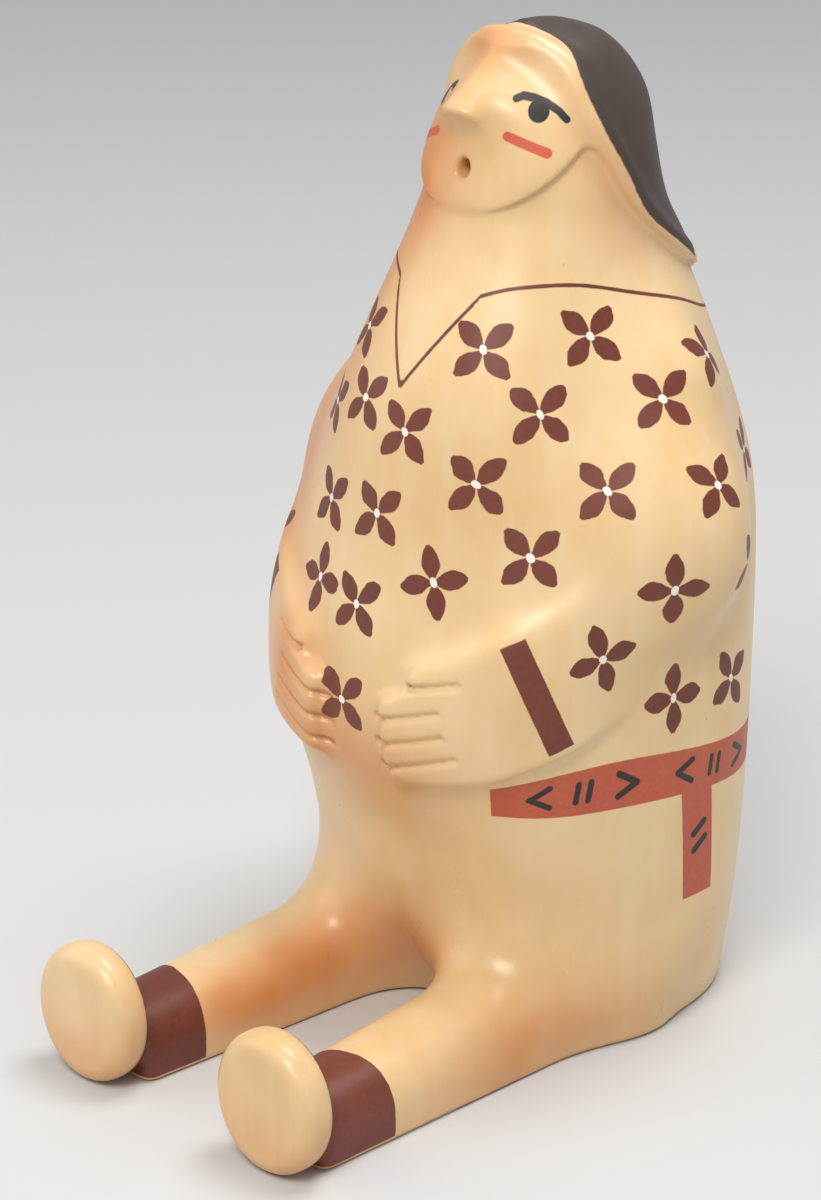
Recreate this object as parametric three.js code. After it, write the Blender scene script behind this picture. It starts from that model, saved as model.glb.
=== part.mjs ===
import * as THREE from "three";

// Seated storyteller-style figure in burnished clay, one fired piece.
// Millimetres, +Z up. The figure faces -Y and its left side is +X.
// The shape is symmetric about x = 0, so every left part is also the right part.
// Each region of the body is a signed distance, negative inside the clay. The regions are
// blended into one body, whose zero surface is turned into one closed mesh at the end.

// Robe, from the seat to the neck: half width, front depth and back depth at heights
const ROBE_HEIGHTS = [0, 25, 50, 75, 100, 125, 150, 175, 200, 220];
const ROBE_HALF_WIDTH = [43.8, 49.0, 51.5, 52.3, 50.3, 45.9, 37.4, 28.3, 21.5, 17];
const ROBE_FRONT = [25.6, 43.0, 50.1, 58.6, 56.3, 50.5, 44.8, 32.6, 21.5, 16];
const ROBE_BACK = [42.8, 41.7, 41.6, 42.0, 46.0, 48.2, 42.0, 31.7, 16.0, 8];
const ROBE_TOP = 200;
const ROBE_SQUARENESS = 2.15;
const ROBE_TOP_ROUND = 10;

// Cranium: an egg leaning back on the neck
const CRANIUM = { y: 1.2, z: 199.3, halfWidth: 20.0, halfDepth: 22.6, halfHeight: 24.0, lean: -10 };
const NECK_BLEND = 9;

// Hair: a cap of clay over the back of the head, cut straight across the shoulders,
// a little thicker along its front edge
const HAIR_THICKNESS = 2.0;
const HAIR_EDGE_THICKNESS = 1.2;
const HAIR_EDGE_REACH = 14;
const HAIR_BOTTOM = 170.5;
const HAIR_EDGE_HEIGHTS = [166, 170, 176, 182, 190, 199, 207, 214, 220, 225, 229];
const HAIR_EDGE_DEPTH = [32, 27, 19, 11, 2.3, -2.6, -5.6, -7, -8, -10.5, -13];
const HAIR_EDGE_STEEPNESS = 0.75;
const RIM_RADIUS = 1.6;

// Hood: the raised front of the hair over the brow, its middle line from the crown down
// to the shoulder as x, y, z and radius
const HOOD_LINE = [
  [0, -11.0, 222.9, 2.2],
  [4.4, -10.4, 222.5, 2.2],
  [8.4, -8.8, 221.2, 2.1],
  [12.1, -7.6, 218.8, 2.1],
  [14.9, -7.0, 216.3, 2.0],
  [16.6, -6.6, 213.2, 2.0],
  [18.8, -6.1, 208.6, 1.9],
  [21.2, -5.0, 203.6, 1.8],
  [23.3, -2.2, 198.0, 1.8],
  [25.0, 2.6, 190, 1.8],
  [25.2, 11.6, 180.5, 1.7],
  [23.2, 20.8, 174.5, 1.6],
];
const HOOD_PIECES = 28;
const HOOD_BLEND = 3.5;
const HOOD_REACH = 16;

// Face: a broad muzzle below, a sloping brow above it that ends in the nose, and a jaw
// cut under by a sloping plane
const FACE_Y = -3;
const FACE_HEIGHTS = [182, 188, 192, 197, 203, 209, 214, 218, 221, 223];
const FACE_HALF_WIDTH = [20.6, 21.4, 21.9, 22.2, 21.2, 18.9, 17.2, 15.0, 11.0, 4.0];
const FACE_DEPTH = [22.6, 24.0, 23.4, 22.0, 21.2, 20.8, 19.8, 17.5, 14.0, 6.0];
const FACE_SQUARENESS = [2.6, 2.6, 2.6, 2.5, 2.15, 2.0, 2.0, 2.0, 2.0, 2.0];
const FACE_BACK = -4;
const FACE_TOP = 221;
const FACE_BLEND = 1.6;
const JAW = { y: -27.2, z: 187.4, slope: 38.5, round: 1.6 };
const BROW = { y: -29.8, z: 210, slope: 34, flank: 0.56, ridge: 2.4, curve: 0.008 };
const NOSE = { halfWidth: 5.0, underside: 0.65, round: 1.1 };
const MOUTH = { z: 196.6, radius: 2.05, narrow: 0.85, bottomY: -12, round: 1.5 };

// Arms: shoulder, elbow and wrist, in low relief over the robe
const ARM_PATH = [
  { x: 37, y: 2, z: 147, radius: 7 },
  { x: 44.6, y: -5, z: 117, radius: 12.6 },
  { x: 32, y: -35, z: 92, radius: 11.6 },
];
const ARM_HEIGHT_SCALE = 0.8;
const ARM_BEND_BLEND = 14;
const ARM_BLEND_AT_HAND = 6;
const ARM_BLEND_AT_SHOULDER = 22;

// Hands: a plate over the belly, its outline as heights and as millimetres round the front
const ROUND_SCALE = 59;
const HAND_HEIGHTS = [60, 68, 72, 78, 84, 87, 89.5, 93, 100];
const HAND_TIP_ROUND = [12.5, 11.4, 11.0, 10.5, 9.8, 10.6, 14.4, 15.2, 17];
const HAND_ROUNDS = [4, 12, 25, 36, 43, 55, 69, 81];
const HAND_LOW = [67.2, 67.4, 69.4, 71.6, 74.5, 79.6, 88.3, 99];
const HAND_HIGH = [89, 93.2, 98.0, 102, 104.5, 109, 116, 124];
const HAND_THICKNESS = 3.8;
const HAND_SINK = 9;
const HAND_SINK_ROUNDS = [48, 82];
const HAND_EDGE_ROUND = 2.4;
const HAND_TOP_SLACK = 0.55;
const HAND_BLEND = 5;

// Fingers: four grooves part each hand into a thumb and four fingers, each groove from its
// tip to its root as millimetres round the front and height
const GROOVE_WIDTH = 0.95;
const GROOVE_DEPTH = 1.15;
const FINGER_GROOVES = [
  { tip: [16.9, 91.0], root: [27.5, 93.2] },
  { tip: [7.5, 81.9], root: [23.4, 86.4] },
  { tip: [7.5, 76.0], root: [24.5, 81.0] },
  { tip: [8.5, 70.3], root: [27.1, 76.2] },
];

// Legs lie forward on the ground, each ending in a turned-up foot with an oval sole
const LEG = {
  hip: { x: 26.2, y: -14, z: 4.8, halfWidth: 15.1, halfHeight: 17.1 },
  ankle: { x: 27.9, y: -104, z: 5.2, halfWidth: 11.4, halfHeight: 11.6 },
  squareness: 2.4, lapBlend: 22,
};
const SOLE = {
  x: 29.2, y: -111, z: 16, halfWidth: 14.9, halfHeight: 16.2,
  halfThickness: 5, edgeRound: 4.2, blend: 2.5,
};
const GROUND_EDGE_ROUND = 1.5;

// Grid bands, [from, to, spacing] along each axis: closer where the face and hands are
const GRID_X = [[-70, -34, 3], [-34, 34, 1.5], [34, 70, 3]];
const GRID_Y = [[-124, -102, 2], [-102, -66, 3], [-66, -42, 1.5], [-42, -2, 1.6], [-2, 60, 3]];
const GRID_Z = [[-8, -2, 6], [-2, 62, 2.6], [62, 95, 1.1], [95, 167, 3], [167, 233, 1.3]];
const SURFACE_STEPS = 3;

// Triangles kept on the finished body
const TRIANGLE_TARGET = 9700;
const FLAT_SNAP = 0.05;

const clamp = (value, low, high) => Math.min(Math.max(value, low), high);
const radians = THREE.MathUtils.degToRad;

// Union and intersection of two distances with a rounded join of the given width
function blend(a, b, width) {
  const h = Math.max(width - Math.abs(a - b), 0) / width;
  return Math.min(a, b) - (h * h * width) / 4;
}

function carve(a, b, width) {
  return -blend(-a, -b, width);
}

// A smooth curve through stations: natural cubic spline, level beyond its ends
function smoothCurve(stations, values) {
  const count = stations.length;
  const bend = new Array(count).fill(0);
  const upper = new Array(count).fill(0);
  for (let i = 1; i < count - 1; i++) {
    const before = stations[i] - stations[i - 1];
    const after = stations[i + 1] - stations[i];
    const slopeChange = (values[i + 1] - values[i]) / after - (values[i] - values[i - 1]) / before;
    const pivot = 2 * (before + after) - before * upper[i - 1];
    upper[i] = after / pivot;
    bend[i] = (6 * slopeChange - before * bend[i - 1]) / pivot;
  }
  for (let i = count - 2; i > 0; i--) bend[i] -= upper[i] * bend[i + 1];
  return (at) => {
    const q = clamp(at, stations[0], stations[count - 1]);
    let i = 0;
    while (i < count - 2 && q > stations[i + 1]) i++;
    const gap = stations[i + 1] - stations[i];
    const a = (stations[i + 1] - q) / gap;
    const b = 1 - a;
    const straight = a * values[i] + b * values[i + 1];
    return straight + (((a ** 3 - a) * bend[i] + (b ** 3 - b) * bend[i + 1]) * gap * gap) / 6;
  };
}

const robeHalfWidth = smoothCurve(ROBE_HEIGHTS, ROBE_HALF_WIDTH);
const robeFront = smoothCurve(ROBE_HEIGHTS, ROBE_FRONT);
const robeBack = smoothCurve(ROBE_HEIGHTS, ROBE_BACK);
const hairEdge = smoothCurve(HAIR_EDGE_HEIGHTS, HAIR_EDGE_DEPTH);
const faceHalfWidth = smoothCurve(FACE_HEIGHTS, FACE_HALF_WIDTH);
const faceDepth = smoothCurve(FACE_HEIGHTS, FACE_DEPTH);
const faceSquareness = smoothCurve(FACE_HEIGHTS, FACE_SQUARENESS);
const handTip = smoothCurve(HAND_HEIGHTS, HAND_TIP_ROUND);
const handLow = smoothCurve(HAND_ROUNDS, HAND_LOW);
const handHigh = smoothCurve(HAND_ROUNDS, HAND_HIGH);

// Distance to an oval with its sides squared off by the power
function ovalDistance(u, v, halfU, halfV, power) {
  const reach = (Math.abs(u / halfU) ** power + Math.abs(v / halfV) ** power) ** (1 / power);
  return Math.hypot(u, v) * (1 - 1 / Math.max(reach, 1e-6));
}

function eggDistance(x, y, z, egg) {
  const angle = radians(egg.lean);
  const dy = y - egg.y;
  const dz = z - egg.z;
  const across = Math.cos(angle) * dy - Math.sin(angle) * dz;
  const up = Math.sin(angle) * dy + Math.cos(angle) * dz;
  const near = Math.hypot(x / egg.halfWidth, across / egg.halfDepth, up / egg.halfHeight);
  const steep = Math.hypot(x / egg.halfWidth ** 2, across / egg.halfDepth ** 2, up / egg.halfHeight ** 2);
  return (near * (near - 1)) / Math.max(steep, 1e-9);
}

// Distance to a limb segment whose radius eases from one end to the other
function limbDistance(x, y, z, from, to) {
  const run = [to.x - from.x, to.y - from.y, to.z - from.z];
  const offset = [x - from.x, y - from.y, z - from.z];
  const length = run[0] ** 2 + run[1] ** 2 + run[2] ** 2;
  const along = clamp((offset[0] * run[0] + offset[1] * run[1] + offset[2] * run[2]) / length, 0, 1);
  const gap = Math.hypot(offset[0] - along * run[0], offset[1] - along * run[1], offset[2] - along * run[2]);
  const swell = along * along * (3 - 2 * along);
  return gap - (from.radius + swell * (to.radius - from.radius));
}

function robeDistance(x, y, z) {
  const depth = y < 0 ? robeFront(z) : robeBack(z);
  const side = ovalDistance(x, y, robeHalfWidth(z), depth, ROBE_SQUARENESS);
  return carve(side, z - ROBE_TOP, ROBE_TOP_ROUND);
}

// An oval column under a sloping brow, with the nose standing out below the brow
function faceDistance(x, y, z) {
  const column = ovalDistance(x, y - FACE_Y, faceHalfWidth(z), faceDepth(z), faceSquareness(z));
  const browSlope = radians(BROW.slope);
  const above = -(y - BROW.y) * Math.sin(browSlope) + (z - BROW.z) * Math.cos(browSlope);
  const crest = Math.hypot(x, BROW.ridge);
  const flank = BROW.flank * (crest - BROW.ridge) + BROW.curve * x * x;
  const lean = (BROW.flank * Math.abs(x)) / crest + 2 * BROW.curve * Math.abs(x);
  const roof = (above + flank) / Math.hypot(1, lean);
  const belowNose = (BROW.z - NOSE.underside * (y - BROW.y) - z) / Math.hypot(1, NOSE.underside);
  const nose = carve(Math.abs(x) - NOSE.halfWidth, belowNose, NOSE.round);
  const jawSlope = radians(JAW.slope);
  const belowJaw = (y - JAW.y) * Math.sin(jawSlope) - (z - JAW.z) * Math.cos(jawSlope);
  const muzzle = carve(carve(column, belowJaw, JAW.round), z - FACE_TOP, 4);
  const face = carve(blend(muzzle, nose, 4), roof, 2);
  return carve(face, y - FACE_BACK, 3);
}

// Points along the hood's middle line, closely spaced
const hoodCurves = [0, 1, 2, 3].map((column) =>
  smoothCurve(HOOD_LINE.map((stop, step) => step), HOOD_LINE.map((stop) => stop[column])));
const hoodPoints = Array.from({ length: HOOD_PIECES + 1 }, (unused, i) => {
  const step = ((HOOD_LINE.length - 1) * i) / HOOD_PIECES;
  const [x, y, z, radius] = hoodCurves.map((curve) => curve(step));
  return { x, y, z, radius };
});

function hoodDistance(x, y, z) {
  let nearest = Infinity;
  for (let i = 0; i < HOOD_PIECES; i++) {
    nearest = Math.min(nearest, limbDistance(Math.abs(x), y, z, hoodPoints[i], hoodPoints[i + 1]));
  }
  return nearest;
}

function headAndRobeDistance(x, y, z) {
  const inner = blend(robeDistance(x, y, z), eggDistance(x, y, z, CRANIUM), NECK_BLEND);
  const behindEdge = (hairEdge(z) - y) * HAIR_EDGE_STEEPNESS;
  const belowHair = HAIR_BOTTOM - z;
  let thickened = THREE.MathUtils.smoothstep(behindEdge + HAIR_EDGE_REACH, 0, HAIR_EDGE_REACH);
  thickened *= THREE.MathUtils.smoothstep(z, 184, 204) * THREE.MathUtils.smoothstep(-z, -222, -210);
  const outer = inner - HAIR_THICKNESS - HAIR_EDGE_THICKNESS * thickened;
  const cap = carve(carve(outer, behindEdge, 1.8), belowHair, 1.5);
  const rimGap = Math.max(behindEdge + 0.6, belowHair + 0.6);
  const rim = Math.hypot(outer + 0.75 * RIM_RADIUS, rimGap) - RIM_RADIUS;
  let hair = blend(cap, rim, 0.8);
  if (z > HAIR_BOTTOM - HOOD_REACH) hair = blend(hair, hoodDistance(x, y, z), HOOD_BLEND);

  let body = blend(inner, faceDistance(x, y, z), FACE_BLEND);
  const fill = THREE.MathUtils.smoothstep(z, 196, 210) * THREE.MathUtils.smoothstep(-z, -225, -221.5);
  body = blend(body, hair, 1.6 + 4 * fill);
  const throat = Math.max(Math.hypot(x / MOUTH.narrow, z - MOUTH.z) - MOUTH.radius, y - MOUTH.bottomY);
  return carve(body, -throat, MOUTH.round);
}

// The arm is taller than it is thick, so it is measured with heights drawn in
const squashedArm = ARM_PATH.map((stop) => ({ ...stop, z: stop.z * ARM_HEIGHT_SCALE }));

function armDistance(x, y, z) {
  const side = Math.abs(x);
  const height = z * ARM_HEIGHT_SCALE;
  const [shoulder, elbow, wrist] = squashedArm;
  const upper = limbDistance(side, y, height, shoulder, elbow);
  const lower = limbDistance(side, y, height, elbow, wrist);
  return blend(upper, lower, ARM_BEND_BLEND);
}

// Millimetres round the front of the belly, from its middle
const roundFront = (x, y) => ROUND_SCALE * Math.atan2(Math.abs(x), -y);

// The robe's surface raised inside the hand's outline
function handDistance(x, y, z, robe) {
  const around = roundFront(x, y);
  const tip = handTip(z) - around;
  const low = handLow(around) - z;
  const high = (z - handHigh(around)) * HAND_TOP_SLACK;
  const outline = carve(carve(tip, low, 4), high, 5);
  const thickness = HAND_THICKNESS - HAND_SINK * THREE.MathUtils.smoothstep(around, ...HAND_SINK_ROUNDS);
  return carve(robe - thickness, outline, HAND_EDGE_ROUND);
}

// How deep the grooves between the fingers are cut at a place
function grooveDepth(x, y, z) {
  const around = roundFront(x, y);
  let depth = 0;
  for (const { tip, root } of FINGER_GROOVES) {
    const run = [root[0] - tip[0], root[1] - tip[1]];
    const total = run[0] ** 2 + run[1] ** 2;
    const along = clamp(((around - tip[0]) * run[0] + (z - tip[1]) * run[1]) / total, 0, 1);
    const gap = Math.hypot(around - tip[0] - along * run[0], z - tip[1] - along * run[1]);
    depth = Math.max(depth, GROOVE_DEPTH * Math.exp(-((gap / GROOVE_WIDTH) ** 2)));
  }
  return depth * THREE.MathUtils.smoothstep(-y, 35, 45);
}

function legDistance(x, y, z) {
  const { hip, ankle } = LEG;
  const side = Math.abs(x);
  const along = clamp((y - hip.y) / (ankle.y - hip.y), -0.3, 1.1);
  const mix = (key) => hip[key] + (ankle[key] - hip[key]) * along;
  let leg = ovalDistance(side - mix("x"), z - mix("z"), mix("halfWidth"), mix("halfHeight"), LEG.squareness);
  leg = carve(carve(leg, ankle.y - 2 - y, 3), y - hip.y, 8);
  const face = ovalDistance(side - SOLE.x, z - SOLE.z, SOLE.halfWidth, SOLE.halfHeight, 2) + SOLE.edgeRound;
  const thick = Math.abs(y - SOLE.y) - SOLE.halfThickness + SOLE.edgeRound;
  const corner = Math.hypot(Math.max(face, 0), Math.max(thick, 0)) + Math.min(Math.max(face, thick), 0);
  return blend(leg, corner - SOLE.edgeRound, SOLE.blend);
}

function figureDistance(x, y, z) {
  const raise = THREE.MathUtils.smoothstep(z, 85, 140);
  const armBlend = THREE.MathUtils.lerp(ARM_BLEND_AT_HAND, ARM_BLEND_AT_SHOULDER, raise);
  let body = blend(headAndRobeDistance(x, y, z), armDistance(x, y, z), armBlend);
  body = blend(body, handDistance(x, y, z, robeDistance(x, y, z)), HAND_BLEND) + grooveDepth(x, y, z);
  body = blend(body, legDistance(x, y, z), LEG.lapBlend);
  return carve(body, -z, GROUND_EDGE_ROUND);
}

function gridLines(bands) {
  const lines = [bands[0][0]];
  for (const [from, to, spacing] of bands) {
    const count = Math.round((to - from) / spacing);
    for (let i = 1; i <= count; i++) lines.push(from + ((to - from) * i) / count);
  }
  return lines;
}

// Moves a point along the slope of the distance until it lies on the surface
function settleOnSurface(point, distance) {
  const step = 0.05;
  for (let round = 0; round < SURFACE_STEPS; round++) {
    const [x, y, z] = point;
    const value = distance(x, y, z);
    const slope = [
      distance(x + step, y, z) - distance(x - step, y, z),
      distance(x, y + step, z) - distance(x, y - step, z),
      distance(x, y, z + step) - distance(x, y, z - step),
    ].map((change) => change / (2 * step));
    const size = Math.max(slope[0] ** 2 + slope[1] ** 2 + slope[2] ** 2, 0.25);
    for (let axis = 0; axis < 3; axis++) point[axis] -= (value * slope[axis]) / size;
  }
}

// One closed mesh of the zero surface: a vertex in each grid cell that the surface
// crosses, and a pair of triangles round each grid edge that it crosses
function surfaceGeometry(distance) {
  const lines = [gridLines(GRID_X), gridLines(GRID_Y), gridLines(GRID_Z)];
  const counts = lines.map((axis) => axis.length);
  const stride = [1, counts[0], counts[0] * counts[1]];
  const values = new Float64Array(counts[0] * counts[1] * counts[2]);
  for (let k = 0; k < counts[2]; k++) {
    for (let j = 0; j < counts[1]; j++) {
      for (let i = 0; i < counts[0]; i++) {
        values[i + j * stride[1] + k * stride[2]] = distance(lines[0][i], lines[1][j], lines[2][k]);
      }
    }
  }

  joinTouchingSheets(values, stride);

  const positions = [];
  const cellVertex = new Map();
  const corner = (cell, bits) => cell + (bits & 1) + ((bits >> 1) & 1) * stride[1] + (bits >> 2) * stride[2];
  const place = (start, bits) => start.map((index, axis) => lines[axis][index + ((bits >> axis) & 1)]);
  const vertexOf = (start) => {
    const cell = start[0] + start[1] * stride[1] + start[2] * stride[2];
    if (cellVertex.has(cell)) return cellVertex.get(cell);
    const sum = [0, 0, 0];
    let crossings = 0;
    for (let bits = 0; bits < 8; bits++) {
      for (let axis = 0; axis < 3; axis++) {
        if ((bits >> axis) & 1) continue;
        const far = bits | (1 << axis);
        const a = values[corner(cell, bits)];
        const b = values[corner(cell, far)];
        if (a < 0 === b < 0) continue;
        const from = place(start, bits);
        const to = place(start, far);
        for (let n = 0; n < 3; n++) sum[n] += from[n] + ((to[n] - from[n]) * a) / (a - b);
        crossings += 1;
      }
    }
    const point = sum.map((total) => total / crossings);
    settleOnSurface(point, distance);
    cellVertex.set(cell, positions.length / 3);
    positions.push(...point);
    return cellVertex.get(cell);
  };

  const triangles = [];
  for (let axis = 0; axis < 3; axis++) {
    const [u, v] = [(axis + 1) % 3, (axis + 2) % 3];
    for (let k = 1; k < counts[2] - 1; k++) {
      for (let j = 1; j < counts[1] - 1; j++) {
        for (let i = 1; i < counts[0] - 1; i++) {
          const start = [i, j, k];
          const here = i + j * stride[1] + k * stride[2];
          const a = values[here];
          const b = values[here + stride[axis]];
          if (a < 0 === b < 0) continue;
          const ring = [[0, 0], [1, 0], [1, 1], [0, 1]].map(([du, dv]) => {
            const cell = [...start];
            cell[u] -= du;
            cell[v] -= dv;
            return vertexOf(cell);
          });
          if (a >= 0) ring.reverse();
          triangles.push(...shorterSplit(ring, positions));
        }
      }
    }
  }
  return thinnedGeometry(positions, triangles);
}

// Where a grid face is inside at two opposite corners only, two sheets would share an edge:
// the outer corner nearest the surface is filled in, which joins them
function joinTouchingSheets(values, stride) {
  let changed = true;
  while (changed) {
    changed = false;
    for (let axis = 0; axis < 3; axis++) {
      const [u, v] = [stride[(axis + 1) % 3], stride[(axis + 2) % 3]];
      for (let here = 0; here < values.length - u - v; here++) {
        const insideHere = values[here] < 0;
        if (insideHere === values[here + u] < 0 || insideHere === values[here + v] < 0) continue;
        if (insideHere !== values[here + u + v] < 0) continue;
        const outer = insideHere ? [here + u, here + v] : [here, here + u + v];
        values[values[outer[0]] < values[outer[1]] ? outer[0] : outer[1]] = -1e-3;
        changed = true;
      }
    }
  }
}

// Splits a four-sided ring along its shorter diagonal
function shorterSplit([a, b, c, d], positions) {
  const at = (n) => new THREE.Vector3(positions[3 * n], positions[3 * n + 1], positions[3 * n + 2]);
  const firstIsShorter = at(a).distanceTo(at(c)) <= at(b).distanceTo(at(d));
  return firstIsShorter ? [a, b, c, a, c, d] : [a, b, d, b, c, d];
}

// Quadrics: the squared distance from a point to a set of planes, as ten numbers
function addPlane(quadrics, vertex, normal, offset, weight) {
  const [a, b, c] = normal;
  const terms = [
    a * a, a * b, a * c, a * offset, b * b, b * c, b * offset, c * c, c * offset, offset * offset,
  ];
  for (let n = 0; n < 10; n++) quadrics[10 * vertex + n] += terms[n] * weight;
}

function planeError(q, [x, y, z]) {
  const square = q[0] * x * x + q[4] * y * y + q[7] * z * z;
  const crossed = q[1] * x * y + q[2] * x * z + q[5] * y * z;
  return square + 2 * (crossed + q[3] * x + q[6] * y + q[8] * z) + q[9];
}

// The point with the least error, or null where the planes leave it loose
function leastErrorPoint(q) {
  const minorX = q[4] * q[7] - q[5] * q[5];
  const minorY = q[1] * q[7] - q[5] * q[2];
  const minorZ = q[1] * q[5] - q[4] * q[2];
  const volume = q[0] * minorX - q[1] * minorY + q[2] * minorZ;
  const scale = (q[0] + q[4] + q[7]) ** 3;
  if (Math.abs(volume) < 1e-4 * scale) return null;
  const [r, s, t] = [-q[3], -q[6], -q[8]];
  return [
    (r * minorX - q[1] * (s * q[7] - q[5] * t) + q[2] * (s * q[5] - q[4] * t)) / volume,
    (q[0] * (s * q[7] - q[5] * t) - r * minorY + q[2] * (q[1] * t - s * q[2])) / volume,
    (q[0] * (q[4] * t - s * q[5]) - q[1] * (q[1] * t - s * q[2]) + r * minorZ) / volume,
  ];
}

const crossOf = (a, b) => [a[1] * b[2] - a[2] * b[1], a[2] * b[0] - a[0] * b[2], a[0] * b[1] - a[1] * b[0]];
const minus = (a, b) => [a[0] - b[0], a[1] - b[1], a[2] - b[2]];
const dot = (a, b) => a[0] * b[0] + a[1] * b[1] + a[2] * b[2];

// A heap of candidate edges, cheapest first
class EdgeHeap {
  constructor() {
    this.items = [];
  }

  push(item) {
    const items = this.items;
    let n = items.push(item) - 1;
    while (n > 0) {
      const parent = (n - 1) >> 1;
      if (items[parent].cost <= item.cost) break;
      items[n] = items[parent];
      n = parent;
    }
    items[n] = item;
  }

  pop() {
    const items = this.items;
    const first = items[0];
    const last = items.pop();
    const count = items.length;
    if (count === 0) return first;
    let n = 0;
    while (2 * n + 1 < count) {
      let child = 2 * n + 1;
      if (child + 1 < count && items[child + 1].cost < items[child].cost) child += 1;
      if (items[child].cost >= last.cost) break;
      items[n] = items[child];
      n = child;
    }
    items[n] = last;
    return first;
  }
}

// Draws the cheapest edges in to points until only the wanted triangles are left, so
// large triangles cover the plain surfaces and small ones the carving
function thinnedGeometry(positions, indices) {
  const vertexCount = positions.length / 3;
  const points = [];
  for (let n = 0; n < vertexCount; n++) points.push(positions.slice(3 * n, 3 * n + 3));
  const triangles = [];
  const around = points.map(() => new Set());
  const quadrics = new Float64Array(10 * vertexCount);
  for (let n = 0; n < indices.length; n += 3) {
    const corners = indices.slice(n, n + 3);
    const [first, second, third] = corners.map((corner) => points[corner]);
    const normal = crossOf(minus(second, first), minus(third, first));
    const size = Math.sqrt(dot(normal, normal));
    corners.forEach((vertex) => around[vertex].add(triangles.length));
    triangles.push(corners);
    if (size < 1e-9) continue;
    const unit = normal.map((value) => value / size);
    corners.forEach((vertex) => addPlane(quadrics, vertex, unit, -dot(unit, points[corners[0]]), size));
  }

  const age = new Int32Array(vertexCount);
  const heap = new EdgeHeap();
  const quadricOf = (vertex) => quadrics.subarray(10 * vertex, 10 * vertex + 10);
  const consider = (u, v) => {
    const sum = quadricOf(u).map((value, n) => value + quadrics[10 * v + n]);
    const middle = points[u].map((value, n) => (value + points[v][n]) / 2);
    const length = dot(minus(points[u], points[v]), minus(points[u], points[v]));
    const best = leastErrorPoint(sum);
    const choices = [middle, points[u], points[v]];
    if (best && dot(minus(best, middle), minus(best, middle)) < length) choices.push(best);
    let target = middle;
    for (const choice of choices) if (planeError(sum, choice) < planeError(sum, target)) target = choice;
    target = [target[0], target[1], target[2] < FLAT_SNAP ? 0 : target[2]];
    const cost = planeError(sum, target) + 1e-4 * length;
    heap.push({ cost, u, v, target, ageU: age[u], ageV: age[v] });
  };
  const neighbours = (vertex) => {
    const found = new Set();
    for (const t of around[vertex]) triangles[t].forEach((n) => found.add(n));
    found.delete(vertex);
    return found;
  };
  const staysSound = (vertex, other, target) => {
    for (const t of around[vertex]) {
      const corners = triangles[t];
      if (corners.includes(other)) continue;
      const [a, b, c] = corners.map((n) => points[n]);
      const [d, e, f] = corners.map((n) => (n === vertex ? target : points[n]));
      const before = crossOf(minus(b, a), minus(c, a));
      const after = crossOf(minus(e, d), minus(f, d));
      const sizes = Math.sqrt(dot(before, before) * dot(after, after));
      const sides = [minus(e, d), minus(f, e), minus(f, d)];
      const longest = Math.max(...sides.map((side) => dot(side, side)));
      if (dot(before, after) < 0.5 * sizes || dot(after, after) < 0.003 * longest * longest) return false;
    }
    return true;
  };
  for (let u = 0; u < vertexCount; u++) {
    for (const v of neighbours(u)) if (u < v) consider(u, v);
  }

  let count = triangles.length;
  while (count > TRIANGLE_TARGET && heap.items.length > 0) {
    const { u, v, target, ageU, ageV } = heap.pop();
    if (age[u] !== ageU || age[v] !== ageV) continue;
    const besideV = neighbours(v);
    const shared = [...neighbours(u)].filter((n) => besideV.has(n));
    if (shared.length !== 2 || !staysSound(u, v, target) || !staysSound(v, u, target)) continue;
    points[u] = target;
    for (let n = 0; n < 10; n++) quadrics[10 * u + n] += quadrics[10 * v + n];
    for (const t of around[v]) {
      const corners = triangles[t];
      if (corners.includes(u)) {
        corners.forEach((n) => around[n].delete(t));
        triangles[t] = null;
        count -= 1;
      } else {
        corners[corners.indexOf(v)] = u;
        around[u].add(t);
      }
    }
    age[v] = -1;
    age[u] += 1;
    for (const n of neighbours(u)) consider(u, n);
  }

  const renumbered = new Map();
  const keptPoints = [];
  const keptCorners = [];
  for (const corners of triangles) {
    if (!corners) continue;
    for (const vertex of corners) {
      if (!renumbered.has(vertex)) {
        renumbered.set(vertex, renumbered.size);
        keptPoints.push(...points[vertex]);
      }
      keptCorners.push(renumbered.get(vertex));
    }
  }
  const geometry = new THREE.BufferGeometry();
  geometry.setAttribute("position", new THREE.Float32BufferAttribute(keptPoints, 3));
  geometry.setIndex(keptCorners);
  return geometry;
}

const clay = new THREE.MeshStandardMaterial({ color: 0xe6c69b, roughness: 0.38, metalness: 0 });
const figure = new THREE.Mesh(surfaceGeometry(figureDistance), clay);
figure.name = "seated_figure";

// The origin is under the middle of the figure's box, on the ground
figure.geometry.computeBoundingBox();
const box = figure.geometry.boundingBox;
figure.geometry.translate(-(box.min.x + box.max.x) / 2, -(box.min.y + box.max.y) / 2, -box.min.z);
figure.geometry.computeVertexNormals();

const group = new THREE.Group();
group.add(figure);

export default group;
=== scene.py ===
import math

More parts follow.
